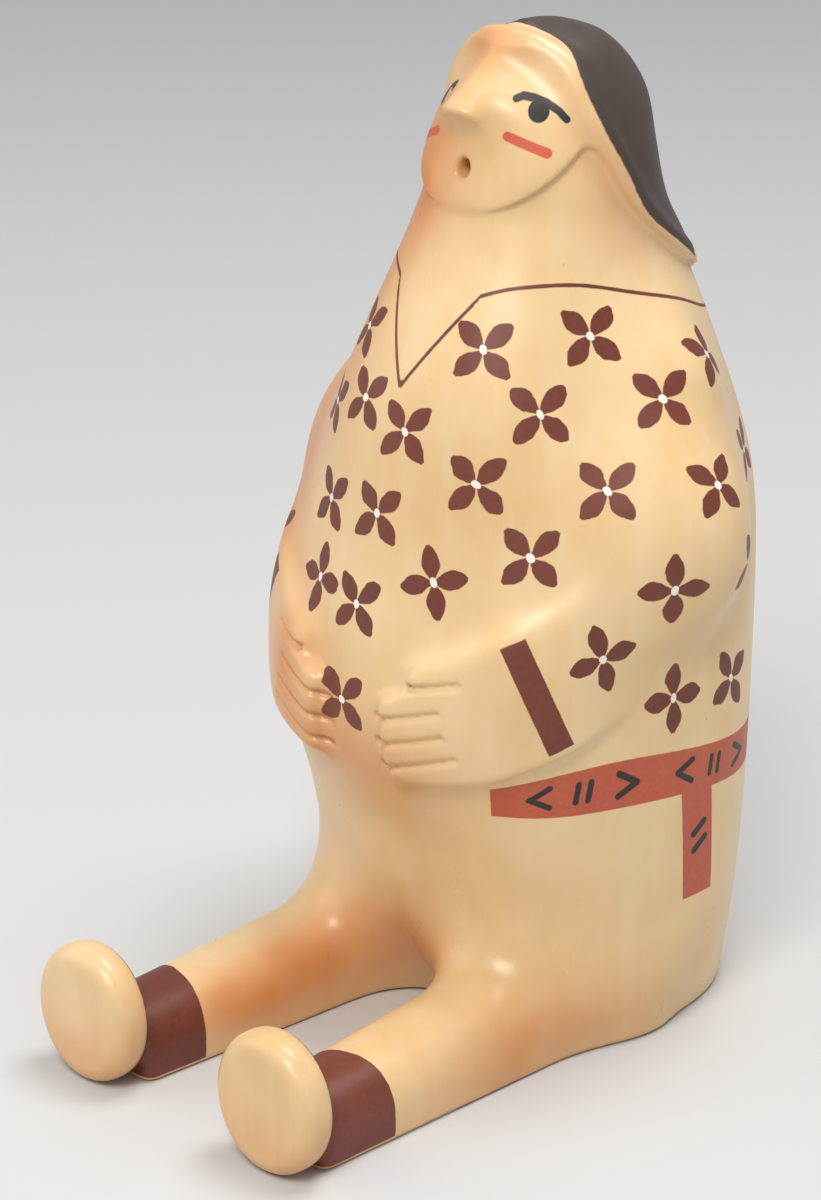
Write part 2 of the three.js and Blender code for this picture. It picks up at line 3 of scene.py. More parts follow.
import bpy
import numpy as np
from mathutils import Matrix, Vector


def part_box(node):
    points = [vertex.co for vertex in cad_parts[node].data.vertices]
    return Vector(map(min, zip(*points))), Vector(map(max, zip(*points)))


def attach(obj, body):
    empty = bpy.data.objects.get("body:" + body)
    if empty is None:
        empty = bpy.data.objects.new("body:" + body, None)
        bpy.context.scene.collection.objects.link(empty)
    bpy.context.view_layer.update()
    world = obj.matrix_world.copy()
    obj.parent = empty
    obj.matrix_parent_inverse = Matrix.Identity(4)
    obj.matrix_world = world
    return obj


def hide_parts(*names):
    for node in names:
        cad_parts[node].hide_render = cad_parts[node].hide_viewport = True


# Seated storyteller-style figure in burnished clay: its finely modelled surface, its painted
# dress and the plain studio round it.
# Shapes are worked out in the figure frame: millimetres, +Z up, the figure faces -Y, its left
# side is +X and it is symmetric about x = 0. The frame's own place differs from that only by
# a shift along Y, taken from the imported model.

MM = 0.001

# Robe, from the seat to the neck: half width, front depth and back depth at heights
ROBE_HEIGHTS = [0, 25, 50, 75, 100, 125, 150, 175, 200, 220]
ROBE_HALF_WIDTH = [43.8, 49.0, 51.5, 52.3, 50.3, 45.9, 37.4, 28.3, 21.5, 17]
ROBE_FRONT = [25.6, 43.0, 50.1, 58.6, 56.3, 50.5, 44.8, 32.6, 21.5, 16]
ROBE_BACK = [42.8, 41.7, 41.6, 42.0, 46.0, 48.2, 42.0, 31.7, 16.0, 8]
ROBE_TOP = 200
ROBE_SQUARENESS = 2.15
ROBE_TOP_ROUND = 10

# Cranium: an egg leaning back on the neck
CRANIUM = {
    "y": 1.2, "z": 199.3, "half_width": 20.0, "half_depth": 22.6, "half_height": 24.0, "lean": -10,
}
NECK_BLEND = 9

# Hair: a cap of clay over the back of the head, cut straight across the shoulders,
# a little thicker along its front edge
HAIR_THICKNESS = 2.0
HAIR_EDGE_THICKNESS = 1.2
HAIR_EDGE_REACH = 14
HAIR_BOTTOM = 170.5
HAIR_EDGE_HEIGHTS = [166, 170, 176, 182, 190, 199, 207, 214, 220, 225, 229]
HAIR_EDGE_DEPTH = [32, 27, 19, 11, 2.3, -2.6, -5.6, -7, -8, -10.5, -13]
HAIR_EDGE_STEEPNESS = 0.75
RIM_RADIUS = 1.6

# Hood: the raised front of the hair over the brow, its middle line from the crown down
HOOD_STEPS = [0, 1, 2, 3, 4, 5, 6, 7, 8, 9, 10, 11]
HOOD_X = [0, 4.4, 8.4, 12.1, 14.9, 16.6, 18.8, 21.2, 23.3, 25.0, 25.2, 23.2]
HOOD_Y = [-11.0, -10.4, -8.8, -7.6, -7.0, -6.6, -6.1, -5.0, -2.2, 2.6, 11.6, 20.8]
HOOD_Z = [222.9, 222.5, 221.2, 218.8, 216.3, 213.2, 208.6, 203.6, 198.0, 190, 180.5, 174.5]
HOOD_RADIUS = [2.2, 2.2, 2.1, 2.1, 2.0, 2.0, 1.9, 1.8, 1.8, 1.8, 1.7, 1.6]
HOOD_PIECES = 28
HOOD_BLEND = 3.5

# Face: a broad muzzle below, a sloping brow above it that ends in the nose, and a jaw
# cut under by a sloping plane
FACE_Y = -3
FACE_HEIGHTS = [182, 188, 192, 197, 203, 209, 214, 218, 221, 223]
FACE_HALF_WIDTH = [20.6, 21.4, 21.9, 22.2, 21.2, 18.9, 17.2, 15.0, 11.0, 4.0]
FACE_DEPTH = [22.6, 24.0, 23.4, 22.0, 21.2, 20.8, 19.8, 17.5, 14.0, 6.0]
FACE_SQUARENESS = [2.6, 2.6, 2.6, 2.5, 2.15, 2.0, 2.0, 2.0, 2.0, 2.0]
FACE_BACK = -4
FACE_TOP = 221
NOSE_HALF_WIDTH = 5.0
JAW = {"y": -27.2, "z": 187.4, "slope": 38.5, "round": 1.6}
BROW = {"y": -29.8, "z": 210, "slope": 34, "flank": 0.56, "ridge": 2.4, "curve": 0.008}
NOSE_UNDERSIDE = 0.65
NOSE_ROUND = 1.1
FACE_BLEND = 1.6
MOUTH = {"z": 196.6, "radius": 2.05, "narrow": 0.85, "bottom_y": -12, "round": 1.5}

# Arms: shoulder, elbow and wrist as (x, y, z, radius), in low relief over the robe
ARM_PATH = [(37, 2, 147, 7), (44.6, -5, 117, 12.6), (32, -35, 92, 11.6)]
ARM_HEIGHT_SCALE = 0.8
ARM_BEND_BLEND = 14
ARM_BLEND_AT_HAND = 6
ARM_BLEND_AT_SHOULDER = 22

# Hands: a plate over the belly, its outline as heights and as millimetres round the front
ROUND_SCALE = 59
HAND_HEIGHTS = [60, 68, 72, 78, 84, 87, 89.5, 93, 100]
HAND_TIP_ROUND = [12.5, 11.4, 11.0, 10.5, 9.8, 10.6, 14.4, 15.2, 17]
HAND_ROUNDS = [4, 12, 25, 36, 43, 55, 69, 81]
HAND_LOW = [67.2, 67.4, 69.4, 71.6, 74.5, 79.6, 88.3, 99]
HAND_HIGH = [89, 93.2, 98.0, 102, 104.5, 109, 116, 124]
HAND_THICKNESS = 3.8
HAND_SINK = 9
HAND_SINK_ROUNDS = (48, 82)
HAND_EDGE_ROUND = 2.4
HAND_TOP_SLACK = 0.55
HAND_BLEND = 5

# Fingers: four grooves part each hand into a thumb and four fingers, (tip, root) on the plate
GROOVE_WIDTH = 0.85
GROOVE_DEPTH = 1.05
FINGER_GROOVES = [
    ((16.9, 91.0), (27.5, 93.2)),
    ((7.5, 81.9), (23.4, 86.4)),
    ((7.5, 76.0), (24.5, 81.0)),
    ((8.5, 70.3), (27.1, 76.2)),
]

# Legs lie forward on the ground, each ending in a turned-up foot with an oval sole
LEG_HIP = {"x": 26.2, "y": -14, "z": 4.8, "half_width": 15.1, "half_height": 17.1}
LEG_ANKLE = {"x": 27.9, "y": -104, "z": 5.2, "half_width": 11.4, "half_height": 11.6}
LEG_SQUARENESS = 2.4
LAP_BLEND = 22
SOLE = {
    "x": 29.2, "y": -111, "z": 16, "half_width": 14.9, "half_height": 16.2,
    "half_thickness": 5, "edge_round": 4.2, "blend": 2.5,
}
GROUND_EDGE_ROUND = 1.5

# Grid bands of the fine surface, (from, to, spacing) along each axis
GRID_X = [(0, 34, 0.9), (34, 70, 1.5)]
GRID_Y = [(-124, -66, 1.45), (-66, -38, 0.8), (-38, 2, 0.95), (2, 60, 1.5)]
GRID_Z = [(-8, -2, 6), (-2, 60, 1.45), (60, 95, 0.9), (95, 166, 1.45), (166, 233, 0.8)]
COARSE_STEP = 6
COARSE_REACH = 17
SURFACE_STEPS = 3
SLOPE_STEP = 0.04
CHUNK = 150000

# The photo's camera, found from the outline and the marks: frame of 821 x 1200 pixels
PHOTO_SIZE = (821, 1200)
CAMERA_PLACE = (528.59, -574.84, 391.15)
CAMERA_FORWARD = (-0.65653, 0.66332, -0.35915)
CAMERA_FOCAL_PIXELS = 3654
SENSOR = 36

# Painted flowers that the photo shows: centre pixel and turn in degrees, 45 is an upright cross
FLOWERS_SEEN = [
    (482, 350, 45), (589, 338, 45), (707, 355, 45), (366, 399, 45), (406, 429, 45), (542, 414, 45),
    (664, 401, 45), (475, 483, 45), (606, 490, 45), (719, 484, 45), (333, 498, 45), (377, 514, 45),
    (321, 576, 0), (355, 604, 45), (433, 581, 15), (533, 558, 45), (676, 590, 0), (753, 562, 30),
    (601, 660, 15), (673, 697, 0), (732, 679, 30), (342, 699, 45), (338, 400, 45), (369, 325, 45),
    (748, 450, 45),
]
PETAL_LENGTH = 8.4
PETAL_HALF_WIDTH = 2.05
DOT_RADIUS = 1.05
FLOWER_GAP = 23.5
FLOWER_SEED = 11

# Hair paint: where it stops, as heights and depths, just behind the cream hood
HAIR_PAINT_HEIGHTS = [
    170, 174.8, 180.3, 185.1, 190.1, 196.8, 203.3, 209.4, 215.3, 220.8, 223.5, 225.5, 227,
]
HAIR_PAINT_DEPTH = [27, 19.9, 11.7, 5.4, 1.4, -2.2, -5.2, -7.0, -7.7, -6.1, -5.2, -7.4, -9]

# Belt: heights of its edges against the angle from the front, in degrees
BELT_ANGLES = [0, 33, 44, 60, 77, 93, 103, 130, 180]
BELT_TOP = [67, 68.3, 70.6, 73.0, 72.3, 70.6, 69.8, 69.4, 69.6]
BELT_BOTTOM = [61, 61.0, 60.7, 61.4, 61.2, 60.1, 59.4, 59.2, 59.6]
BELT_START = 33
BELT_HEIGHT = 65.0

# Neckline: a straight-sided V in front, then its height against the angle from the front
VEE = {"bottom": 151.9, "half_width": 12.1, "top": 171.9}
NECK_ANGLES = [18, 30, 41, 53, 82, 107, 137, 180]
NECK_HEIGHTS = [171.5, 173.6, 174.3, 174.3, 171.1, 167.1, 160.5, 157.5]
NECKLINE_HALF_WIDTH = 0.4

# Belt marks: where the first group starts, the reach of one group and its height scale
BELT_WIDTH = 10.4
BELT_MARKS_START = 10.6
BELT_MARKS_BEGIN = -6.0
BELT_MARKS_END = 30.0
BELT_MARKS_SCALE = 10.2

# Sash end on the left side, slanting back as it hangs
SASH = {"y": -2.9, "half_width": 4.9, "top": 62, "bottom": 33.4, "inner_x": 30.0}
SASH_SLANT = {"from_z": 60.5, "over": 27, "back": 3.4}

# Cuff: middle of the band on the left forearm, its two directions and half sizes
CUFF = {
    "at": (40.5, -43.2, 91.2),
    "run": (0.329, 0.249, -0.911),
    "wide": (0.563, 0.723, 0.401),
    "half_length": 13.2,
    "half_width": 3.0,
    "inner_x": 24.0,
}

# Moccasin band between the sole and the heel line
MOCCASIN = {"x": 30.0, "heel": -86.6, "front": -107.6, "low": 1.2}

# Eye and cheek bar, as millimetres round the face and height
FACE_ROUND = (0.756, 0.654)
LASH_POINTS = [(-4.99, 212.2), (-3.4, 212.7), (-1.2, 212.3), (1.4, 211.4), (4.15, 209.7), (5.85, 208.0)]
LASH_RADII = [0.75, 0.8, 0.8, 0.8, 0.8]
PUPIL = (-0.1, 209.8)
PUPIL_RADIUS = 2.3
CHEEK_ENDS = ((-6.6, 204.7), (1.9, 201.5))
CHEEK_RADIUS = 1.05


def smooth_curve(stations, values, at):
    """A smooth curve through stations: natural cubic spline, level beyond its ends"""
    stations = np.asarray(stations, float)
    values = np.asarray(values, float)
    count = len(stations)
    bend = np.zeros(count)
    upper = np.zeros(count)
    for i in range(1, count - 1):
        before = stations[i] - stations[i - 1]
        after = stations[i + 1] - stations[i]
        change = (values[i + 1] - values[i]) / after - (values[i] - values[i - 1]) / before
        pivot = 2 * (before + after) - before * upper[i - 1]
        upper[i] = after / pivot
        bend[i] = (6 * change - before * bend[i - 1]) / pivot
    for i in range(count - 2, 0, -1):
        bend[i] -= upper[i] * bend[i + 1]
    at = np.clip(at, stations[0], stations[-1])
    i = np.clip(np.searchsorted(stations, at, side="left") - 1, 0, count - 2)
    gap = stations[i + 1] - stations[i]
    a = (stations[i + 1] - at) / gap
    b = 1 - a
    curved = (a**3 - a) * bend[i] + (b**3 - b) * bend[i + 1]
    return a * values[i] + b * values[i + 1] + curved * gap * gap / 6


def smooth_step(value, low, high):
    t = np.clip((value - low) / (high - low), 0, 1)
    return t * t * (3 - 2 * t)


def blend(a, b, width):
    """Union of two distances with a rounded join of the given width"""
    h = np.maximum(width - np.abs(a - b), 0) / width
    return np.minimum(a, b) - h * h * width / 4


def carve(a, b, width):
    """Intersection of two distances with a rounded edge"""
    return -blend(-a, -b, width)


def length(*parts):
    return np.sqrt(sum(part * part for part in parts))


def oval_distance(u, v, half_u, half_v, power):
    """Distance to an oval with its sides squared off by the power"""
    reach = (np.abs(u / half_u) ** power + np.abs(v / half_v) ** power) ** (1 / power)
    return length(u, v) * (1 - 1 / np.maximum(reach, 1e-6))


def egg_distance(x, y, z, egg):
    angle = math.radians(egg["lean"])
    dy = y - egg["y"]
    dz = z - egg["z"]
    across = math.cos(angle) * dy - math.sin(angle) * dz
    up = math.sin(angle) * dy + math.cos(angle) * dz
    near = length(x / egg["half_width"], across / egg["half_depth"], up / egg["half_height"])
    steep = length(
        x / egg["half_width"] ** 2,
        across / egg["half_depth"] ** 2,
        up / egg["half_height"] ** 2,
    )
    return near * (near - 1) / np.maximum(steep, 1e-9)


def limb_distance(x, y, z, start, end):
    """Distance to a limb segment, each end (x, y, z, radius)"""
    run = [end[axis] - start[axis] for axis in range(3)]
    offset = [x - start[0], y - start[1], z - start[2]]
    total = sum(part * part for part in run)
    along = np.clip(sum(o * r for o, r in zip(offset, run)) / total, 0, 1)
    gap = length(*[o - along * r for o, r in zip(offset, run)])
    swell = along * along * (3 - 2 * along)
    return gap - (start[3] + swell * (end[3] - start[3]))


def robe_distance(x, y, z):
    depth = np.where(
        y < 0,
        smooth_curve(ROBE_HEIGHTS, ROBE_FRONT, z),
        smooth_curve(ROBE_HEIGHTS, ROBE_BACK, z),
    )
    half_width = smooth_curve(ROBE_HEIGHTS, ROBE_HALF_WIDTH, z)
    side = oval_distance(x, y, half_width, depth, ROBE_SQUARENESS)
    return carve(side, z - ROBE_TOP, ROBE_TOP_ROUND)


def face_distance(x, y, z):
    """An oval column under a sloping brow, with the nose standing out below the brow"""
    half_width = smooth_curve(FACE_HEIGHTS, FACE_HALF_WIDTH, z)
    half_depth = smooth_curve(FACE_HEIGHTS, FACE_DEPTH, z)
    squareness = smooth_curve(FACE_HEIGHTS, FACE_SQUARENESS, z)
    column = oval_distance(x, y - FACE_Y, half_width, half_depth, squareness)
    slope = math.radians(BROW["slope"])
    above = -(y - BROW["y"]) * math.sin(slope) + (z - BROW["z"]) * math.cos(slope)
    crest = length(x, BROW["ridge"])
    flank = BROW["flank"] * (crest - BROW["ridge"]) + BROW["curve"] * x * x
    lean = BROW["flank"] * np.abs(x) / crest + 2 * BROW["curve"] * np.abs(x)
    roof = (above + flank) / length(1, lean)
    below_nose = (BROW["z"] - NOSE_UNDERSIDE * (y - BROW["y"]) - z) / math.hypot(1, NOSE_UNDERSIDE)
    nose = carve(np.abs(x) - NOSE_HALF_WIDTH, below_nose, NOSE_ROUND)
    slope = math.radians(JAW["slope"])
    below_jaw = (y - JAW["y"]) * math.sin(slope) - (z - JAW["z"]) * math.cos(slope)
    muzzle = carve(carve(column, below_jaw, JAW["round"]), z - FACE_TOP, 4)
    face = carve(blend(muzzle, nose, 4), roof, 2)
    return carve(face, y - FACE_BACK, 3)


def behind_hair_edge(y, z):
    """Negative behind the edge that frames the face"""
    return (smooth_curve(HAIR_EDGE_HEIGHTS, HAIR_EDGE_DEPTH, z) - y) * HAIR_EDGE_STEEPNESS


def hood_line():
    """Points of the hood's middle line, closely spaced"""
    steps = np.linspace(HOOD_STEPS[0], HOOD_STEPS[-1], HOOD_PIECES + 1)
    columns = (HOOD_X, HOOD_Y, HOOD_Z, HOOD_RADIUS)
    return np.stack([smooth_curve(HOOD_STEPS, values, steps) for values in columns], 1)


def hood_distance(x, y, z):
    line = hood_line()
    nearest = np.full(np.shape(x), np.inf)
    for start, end in zip(line[:-1], line[1:]):
        piece = limb_distance(np.abs(x), y, z, start, end)
        nearest = np.minimum(nearest, piece)
    return nearest


def head_and_robe_distance(x, y, z):
    inner = blend(robe_distance(x, y, z), egg_distance(x, y, z, CRANIUM), NECK_BLEND)
    behind = behind_hair_edge(y, z)
    below = HAIR_BOTTOM - z
    thickened = smooth_step(behind + HAIR_EDGE_REACH, 0, HAIR_EDGE_REACH)
    thickened = thickened * smooth_step(z, 184, 204) * smooth_step(-z, -222, -210)
    outer = inner - HAIR_THICKNESS - HAIR_EDGE_THICKNESS * thickened
    cap = carve(carve(outer, behind, 1.8), below, 1.5)
    rim_gap = np.maximum(behind + 0.6, below + 0.6)
    rim = length(outer + 0.75 * RIM_RADIUS, rim_gap) - RIM_RADIUS
    hair = blend(cap, rim, 0.8)
    hair = blend(hair, hood_distance(x, y, z), HOOD_BLEND)
    body = blend(inner, face_distance(x, y, z), FACE_BLEND)
    fill = smooth_step(z, 196, 210) * smooth_step(-z, -225, -221.5)
    body = blend(body, hair, 1.6 + 4 * fill)
    throat = length(x / MOUTH["narrow"], z - MOUTH["z"]) - MOUTH["radius"]
    throat = np.maximum(throat, y - MOUTH["bottom_y"])
    return carve(body, -throat, MOUTH["round"])


def arm_distance(x, y, z):
    """The arm is taller than it is thick, so it is measured with heights drawn in"""
    stops = [(sx, sy, sz * ARM_HEIGHT_SCALE, radius) for sx, sy, sz, radius in ARM_PATH]
    side = np.abs(x)
    height = z * ARM_HEIGHT_SCALE
    upper = limb_distance(side, y, height, stops[0], stops[1])
    lower = limb_distance(side, y, height, stops[1], stops[2])
    return blend(upper, lower, ARM_BEND_BLEND)


def round_front(x, y):
    """Millimetres round the front of the belly, from its middle"""
    return ROUND_SCALE * np.arctan2(np.abs(x), -y)


def hand_distance(x, y, z, robe):
    """The robe's surface raised inside the hand's outline"""
    around = round_front(x, y)
    tip = smooth_curve(HAND_HEIGHTS, HAND_TIP_ROUND, z) - around
    low = smooth_curve(HAND_ROUNDS, HAND_LOW, around) - z
    high = (z - smooth_curve(HAND_ROUNDS, HAND_HIGH, around)) * HAND_TOP_SLACK
    outline = carve(carve(tip, low, 4), high, 5)
    thickness = HAND_THICKNESS - HAND_SINK * smooth_step(around, *HAND_SINK_ROUNDS)
    return carve(robe - thickness, outline, HAND_EDGE_ROUND)


def groove_depth(x, y, z):
    """How deep the grooves between the fingers are cut at a place"""
    around = round_front(x, y)
    depth = np.zeros(np.shape(x))
    for (tip_round, tip_z), (root_round, root_z) in FINGER_GROOVES:
        run = (root_round - tip_round, root_z - tip_z)
        total = run[0] ** 2 + run[1] ** 2
        along = np.clip(((around - tip_round) * run[0] + (z - tip_z) * run[1]) / total, 0, 1)
        gap = length(around - tip_round - along * run[0], z - tip_z - along * run[1])
        depth = np.maximum(depth, GROOVE_DEPTH * np.exp(-((gap / GROOVE_WIDTH) ** 2)))
    return depth * smooth_step(-y, 35, 45)


def leg_distance(x, y, z):
    side = np.abs(x)
    along = np.clip((y - LEG_HIP["y"]) / (LEG_ANKLE["y"] - LEG_HIP["y"]), -0.3, 1.1)
    mix = {key: LEG_HIP[key] + (LEG_ANKLE[key] - LEG_HIP[key]) * along for key in LEG_HIP}
    leg = oval_distance(side - mix["x"], z - mix["z"], mix["half_width"], mix["half_height"], LEG_SQUARENESS)
    leg = carve(carve(leg, LEG_ANKLE["y"] - 2 - y, 3), y - LEG_HIP["y"], 8)
    edge = SOLE["edge_round"]
    face = oval_distance(side - SOLE["x"], z - SOLE["z"], SOLE["half_width"], SOLE["half_height"], 2) + edge
    thick = np.abs(y - SOLE["y"]) - SOLE["half_thickness"] + edge
    corner = length(np.maximum(face, 0), np.maximum(thick, 0)) + np.minimum(np.maximum(face, thick), 0)
    return blend(leg, corner - edge, SOLE["blend"])


def figure_distance(x, y, z):
    raised = smooth_step(z, 85, 140)
    arm_blend = ARM_BLEND_AT_HAND + (ARM_BLEND_AT_SHOULDER - ARM_BLEND_AT_HAND) * raised
    body = blend(head_and_robe_distance(x, y, z), arm_distance(x, y, z), arm_blend)
    body = blend(body, hand_distance(x, y, z, robe_distance(x, y, z)), HAND_BLEND)
    body = body + groove_depth(x, y, z)
    body = blend(body, leg_distance(x, y, z), LAP_BLEND)
    return carve(body, -z, GROUND_EDGE_ROUND)


def in_chunks(distance, points):
    """The distance at many points, a chunk at a time"""
    parts = [distance(*points[n:n + CHUNK].T) for n in range(0, len(points), CHUNK)]
    return np.concatenate(parts)


def grid_lines(bands):
    lines = [float(bands[0][0])]
    for low, high, spacing in bands:
        count = round((high - low) / spacing)
        lines += [low + (high - low) * n / count for n in range(1, count + 1)]
    return np.array(lines)


def grid_values(distance, lines):
    """Distances at the grid's points; far from the surface they are only roughly right"""
    coarse_index = [np.unique(np.append(np.arange(0, len(axis), COARSE_STEP), len(axis) - 1)) for axis in lines]
    coarse_lines = [axis[index] for axis, index in zip(lines, coarse_index)]
    grid = np.meshgrid(*coarse_lines, indexing="ij")
    coarse = in_chunks(distance, np.stack([g.ravel() for g in grid], 1)).reshape(grid[0].shape)
    nearest = [
        np.abs(np.arange(len(axis))[:, None] - index[None, :]).argmin(1)
        for axis, index in zip(lines, coarse_index)
    ]
    values = coarse[np.ix_(*nearest)]
    wanted = np.abs(values) < COARSE_REACH
    where = np.nonzero(wanted)
    points = np.stack([axis[index] for axis, index in zip(lines, where)], 1)
    values[where] = in_chunks(distance, points)
    return values


def join_touching_sheets(values):
    """Where a grid face is inside at two opposite corners only, two sheets would share an
    edge: the outer corner nearest the surface is filled in, which joins them"""
    changed = True
    while changed:
        changed = False
        for axis in range(3):
            u = np.eye(3, dtype=int)[(axis + 1) % 3]
            v = np.eye(3, dtype=int)[(axis + 2) % 3]
            shape = np.array(values.shape) - u - v

            def part(offset):
                return values[tuple(slice(o, o + s) for o, s in zip(offset, shape))] < 0

            here, beside, above, across = part(0 * u), part(u), part(v), part(u + v)
            touching = (here == across) & (here != beside) & (here != above)
            for cell in np.argwhere(touching):
                outer = [cell + u, cell + v] if values[tuple(cell)] < 0 else [cell, cell + u + v]
                pair = [tuple(point) for point in outer]
                values[min(pair, key=lambda point: values[point])] = -1e-3
                changed = True


def slope_of(distance, points):
    slope = np.empty_like(points)
    for axis in range(3):
        step = np.zeros(3)
        step[axis] = SLOPE_STEP
        slope[:, axis] = in_chunks(distance, points + step) - in_chunks(distance, points - step)
    return slope / (2 * SLOPE_STEP)


def surface_mesh(distance, bands):
    """Points, four-cornered faces and normals of the zero surface: a point in each grid cell
    that it crosses, and a face round each grid edge that it crosses"""
    half = grid_lines(bands[0])
    lines = [half, grid_lines(bands[1]), grid_lines(bands[2])]
    values = grid_values(distance, lines)
    values = np.concatenate([values[:0:-1], values])
    lines[0] = np.concatenate([-half[:0:-1], half])
    join_touching_sheets(values)

    cells = np.array(values.shape) - 1
    total = np.zeros((cells.prod(), 3))
    crossings = np.zeros(cells.prod())
    rings = []
    for axis in range(3):
        others = [(axis + 1) % 3, (axis + 2) % 3]
        inside = values < 0
        low = [slice(None)] * 3
        high = [slice(None)] * 3
        low[axis] = slice(None, -1)
        high[axis] = slice(1, None)
        crossed = np.argwhere(inside[tuple(low)] != inside[tuple(high)])
        ahead = crossed.copy()
        ahead[:, axis] += 1
        a = values[tuple(crossed.T)]
        b = values[tuple(ahead.T)]
        place = np.stack([lines[n][crossed[:, n]] for n in range(3)], 1)
        place[:, axis] += (lines[axis][ahead[:, axis]] - place[:, axis]) * a / (a - b)
        ring = []
        for du, dv in ((0, 0), (1, 0), (1, 1), (0, 1)):
            cell = crossed.copy()
            cell[:, others[0]] -= du
            cell[:, others[1]] -= dv
            number = np.ravel_multi_index(tuple(cell.T), tuple(cells))
            np.add.at(total, number, place)
            np.add.at(crossings, number, 1)
            ring.append(number)
        ring = np.stack(ring, 1)
        outward = a >= 0
        ring[outward] = ring[outward][:, ::-1]
        rings.append(ring)
    rings = np.concatenate(rings)
    used, corners = np.unique(rings, return_inverse=True)
    points = total[used] / crossings[used][:, None]
    for _ in range(SURFACE_STEPS):
        slope = slope_of(distance, points)
        size = np.maximum((slope**2).sum(1), 0.25)
        points -= slope * (in_chunks(distance, points) / size)[:, None]
    slope = slope_of(distance, points)
    normals = slope / np.maximum(np.linalg.norm(slope, axis=1), 1e-9)[:, None]
    return points, corners.reshape(-1, 4), normals


def shorter_split(points, faces):
    """Each four-cornered face as two triangles, split along its shorter diagonal"""
    a, b, c, d = faces.T
    first = np.linalg.norm(points[a] - points[c], axis=1) <= np.linalg.norm(points[b] - points[d], axis=1)
    one = np.where(first[:, None], np.stack([a, b, c], 1), np.stack([a, b, d], 1))
    two = np.where(first[:, None], np.stack([a, c, d], 1), np.stack([b, c, d], 1))
    return np.stack([one, two], 1).reshape(-1, 3)


def photo_projection(points):
    """Photo pixel and distance from the camera of points in the figure frame"""
    forward = np.array(CAMERA_FORWARD)
    right = np.cross(forward, (0, 0, 1))
    right /= np.linalg.norm(right)
    up = np.cross(right, forward)
    offset = points - np.array(CAMERA_PLACE)
    depth = offset @ forward
    u = PHOTO_SIZE[0] / 2 + CAMERA_FOCAL_PIXELS * (offset @ right) / depth
    v = PHOTO_SIZE[1] / 2 - CAMERA_FOCAL_PIXELS * (offset @ up) / depth
    return np.stack([u, v], 1), depth


def round_angle(points):
    """Angle round the figure in degrees: 0 at the front, 90 at its left, up to 360"""
    return np.degrees(np.arctan2(points[:, 0], -points[:, 1])) % 360


def folded_angle(points):
    return np.degrees(np.arctan2(np.abs(points[:, 0]), -points[:, 1]))


def seen_flower_centres(points, normals):
    """The surface point under each flower's photo pixel, and its turn"""
    pixels, depth = photo_projection(points)
    facing = (normals * (points - np.array(CAMERA_PLACE))).sum(1) < 0
    centres = []
    for u, v, turn in FLOWERS_SEEN:
        near = facing & (np.hypot(pixels[:, 0] - u, pixels[:, 1] - v) < 9)
        choices = np.nonzero(near)[0]
        if len(choices) == 0:
            continue
        front = depth[choices].min()
        choices = choices[depth[choices] < front + 12]
        miss = np.hypot(pixels[choices, 0] - u, pixels[choices, 1] - v)
        centres.append((choices[miss.argmin()], turn))
    return centres


def neckline_gap(points):
    """Height above the painted neckline, drawn in where the line is steep"""
    side = np.abs(points[:, 0])
    rise = (VEE["top"] - VEE["bottom"]) / VEE["half_width"]
    vee = (points[:, 2] - VEE["bottom"] - rise * side) / math.hypot(1, rise)
    rest = points[:, 2] - smooth_curve(NECK_ANGLES, NECK_HEIGHTS, folded_angle(points))
    in_front = points[:, 1] < 0
    return np.where(in_front & (side < VEE["half_width"]), vee, rest)


def flower_layout(points, normals):
    """Flowers the photo shows, then more spread evenly over the hidden sides of the blouse"""
    centres = seen_flower_centres(points, normals)
    angle = folded_angle(points)
    blouse = (points[:, 2] > 79) & (neckline_gap(points) < -9)
    blouse &= points[:, 2] < np.where(angle > 105, 157, 200)
    hands = (angle < 62) & (points[:, 2] < 100)
    seen_side = (normals @ np.array(CAMERA_FORWARD)) < 0.12
    free = np.nonzero(blouse & ~hands & ~seen_side)[0]
    random = np.random.default_rng(FLOWER_SEED)
    gap = np.full(len(free), np.inf)
    for index, _ in centres:
        gap = np.minimum(gap, np.linalg.norm(points[free] - points[index], axis=1))
    while True:
        open_places = np.nonzero(gap > FLOWER_GAP)[0]
        if len(open_places) == 0:
            break
        chosen = open_places[gap[open_places].argmin()]
        centres.append((free[chosen], 45 + random.uniform(-14, 14)))
        gap = np.minimum(gap, np.linalg.norm(points[free] - points[free[chosen]], axis=1))
    return centres


def flower_coordinates(points, triangles, normals):
    """For each triangle's corners: place across and along the nearest flower, and its number"""
    middles = points[triangles].mean(1)
    nearest = np.full(len(triangles), np.inf)
    found = np.full((len(triangles), 3, 3), 99.0)
    for number, (index, turn) in enumerate(flower_layout(points, normals)):
        centre = points[index]
        normal = normals[index]
        gap = np.linalg.norm(middles - centre, axis=1)
        closer = (gap < nearest) & (gap < 16)
        nearest[closer] = gap[closer]
        across = np.cross((0, 0, 1), normal)
        across /= np.linalg.norm(across)
        up = np.cross(normal, across)
        angle = math.radians(turn)
        offset = points[triangles[closer]] - centre
        a = offset @ across
        b = offset @ up
        found[closer, :, 0] = a * math.cos(angle) + b * math.sin(angle)
        found[closer, :, 1] = b * math.cos(angle) - a * math.sin(angle)
        found[closer, :, 2] = number
    return found


